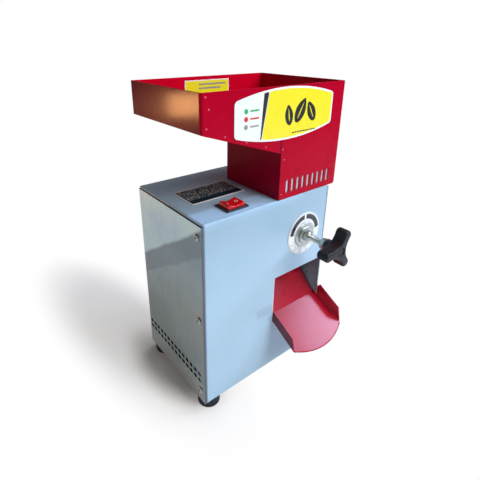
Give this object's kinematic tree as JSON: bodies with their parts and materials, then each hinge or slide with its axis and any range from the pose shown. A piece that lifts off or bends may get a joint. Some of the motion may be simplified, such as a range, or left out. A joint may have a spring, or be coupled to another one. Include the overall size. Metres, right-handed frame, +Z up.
{
  "type": "nut crusher",
  "caption": "Bench-top nut crusher: folded steel body, side hopper with a neck, toothed drum driven by a belt, a jaw set by a three-arm knob, outlet chute and rubber feet.",
  "frame": {"origin": "ground level, below the middle of the bounding box", "axes": "+Z up, +Y towards the back, +X to the right when facing the knob"},
  "size_m": [0.216, 0.2114, 0.4016],
  "materials": {
    "grey_blue_paint": "semi-gloss light blue-grey paint",
    "brushed_steel": "brushed sheet",
    "red_paint": "glossy crimson paint",
    "zinc": "bright zinc plate",
    "cast_steel": "machined dark steel",
    "black_plastic": "satin moulded",
    "red_plastic": "glossy moulded",
    "rubber": "matt",
    "label_yellow": "printed film",
    "label_white": "printed film",
    "label_black": "printed film",
    "light_sheet": "pale galvanised sheet",
    "aluminium": "as cast"
  },
  "bodies": {
    "housing": {"adjuster_dial": "label_white", "base_plate": "brushed_steel", "bearing_cup_left": "cast_steel", "bearing_cup_right": "cast_steel", "chamber_back": "light_sheet", "chamber_left_plate": "cast_steel", "chamber_right_plate": "cast_steel", "drive_belt": "rubber", "drum_bearing_left": "zinc", "drum_bearing_right": "zinc", "foot_front_left": "rubber", "foot_front_right": "rubber", "foot_rear_left": "rubber", "foot_rear_right": "rubber", "front_top_sheet": "grey_blue_paint", "hopper_floor": "red_paint", "hopper_front_plate": "red_paint", "hopper_label": "label_yellow", "hopper_neck": "red_paint", "hopper_right_plate": "red_paint", "hopper_screw_front": "zinc", "hopper_screw_rear": "zinc", "hopper_tray_wall": "red_paint", "motor_bracket": "cast_steel", "motor_front_bell": "aluminium", "motor_rear_bell": "aluminium", "motor_stator": "cast_steel", "neck_backing": "light_sheet", "outlet_chute": "red_paint", "panel_nut": "zinc", "panel_screw_left_high": "zinc", "panel_screw_left_low": "zinc", "panel_screw_left_middle": "zinc", "panel_screw_right_high": "zinc", "panel_screw_right_low": "zinc", "panel_screw_right_middle": "zinc", "panel_washer": "zinc", "power_inlet": "black_plastic", "run_capacitor": "aluminium", "side_wrap": "brushed_steel", "switch_housing": "black_plastic", "thread_bridge": "zinc", "throat_funnel": "light_sheet", "thrust_washer": "zinc", "top_plate": "label_black", "tray_label": "label_yellow"},
    "drum": {"crushing_drum": "cast_steel", "drum_shaft": "zinc", "drum_pulley": "cast_steel"},
    "motor_spindle": {"motor_rotor": "zinc", "motor_pulley": "cast_steel"},
    "jaw": {"jaw_carrier": "cast_steel", "jaw_plate": "cast_steel", "jaw_guide_pin_low": "zinc", "jaw_guide_pin_high": "zinc"},
    "adjuster": {"adjuster_rod": "zinc", "knob_lock_nut": "zinc", "adjuster_knob": "black_plastic"},
    "rocker": {"switch_rocker": "red_plastic"}
  },
  "joints": [
    {"name": "drum_spin", "type": "hinge", "parent": "housing", "child": "drum", "pos_m": [0.0563, 0.02285, 0.214], "axis": [1, 0, 0], "continuous": true},
    {"name": "motor_spin", "type": "hinge", "parent": "housing", "child": "motor_spindle", "pos_m": [-0.0044, 0.02985, 0.074], "axis": [1, 0, 0], "continuous": true},
    {"name": "jaw_slide", "type": "slide", "parent": "housing", "child": "jaw", "axis": [0, -1, 0], "range_m": [-0.00375, 0.005]},
    {"name": "knob_turn", "type": "hinge", "parent": "jaw", "child": "adjuster", "pos_m": [0.0563, -0.04515, 0.2085], "axis": [0, -1, 0], "range_deg": [-1080, 1440]},
    {"name": "rocker_tilt", "type": "hinge", "parent": "housing", "child": "rocker", "pos_m": [-0.0495, -0.02435, 0.2703], "axis": [0, 1, 0], "range_deg": [-10, 10]}
  ],
  "couplings": [
    {"joint": "motor_spin", "follows": "drum_spin", "ratio": 2.5},
    {"joint": "knob_turn", "follows": "jaw_slide", "rad_per_m": 5026.5}
  ]
}
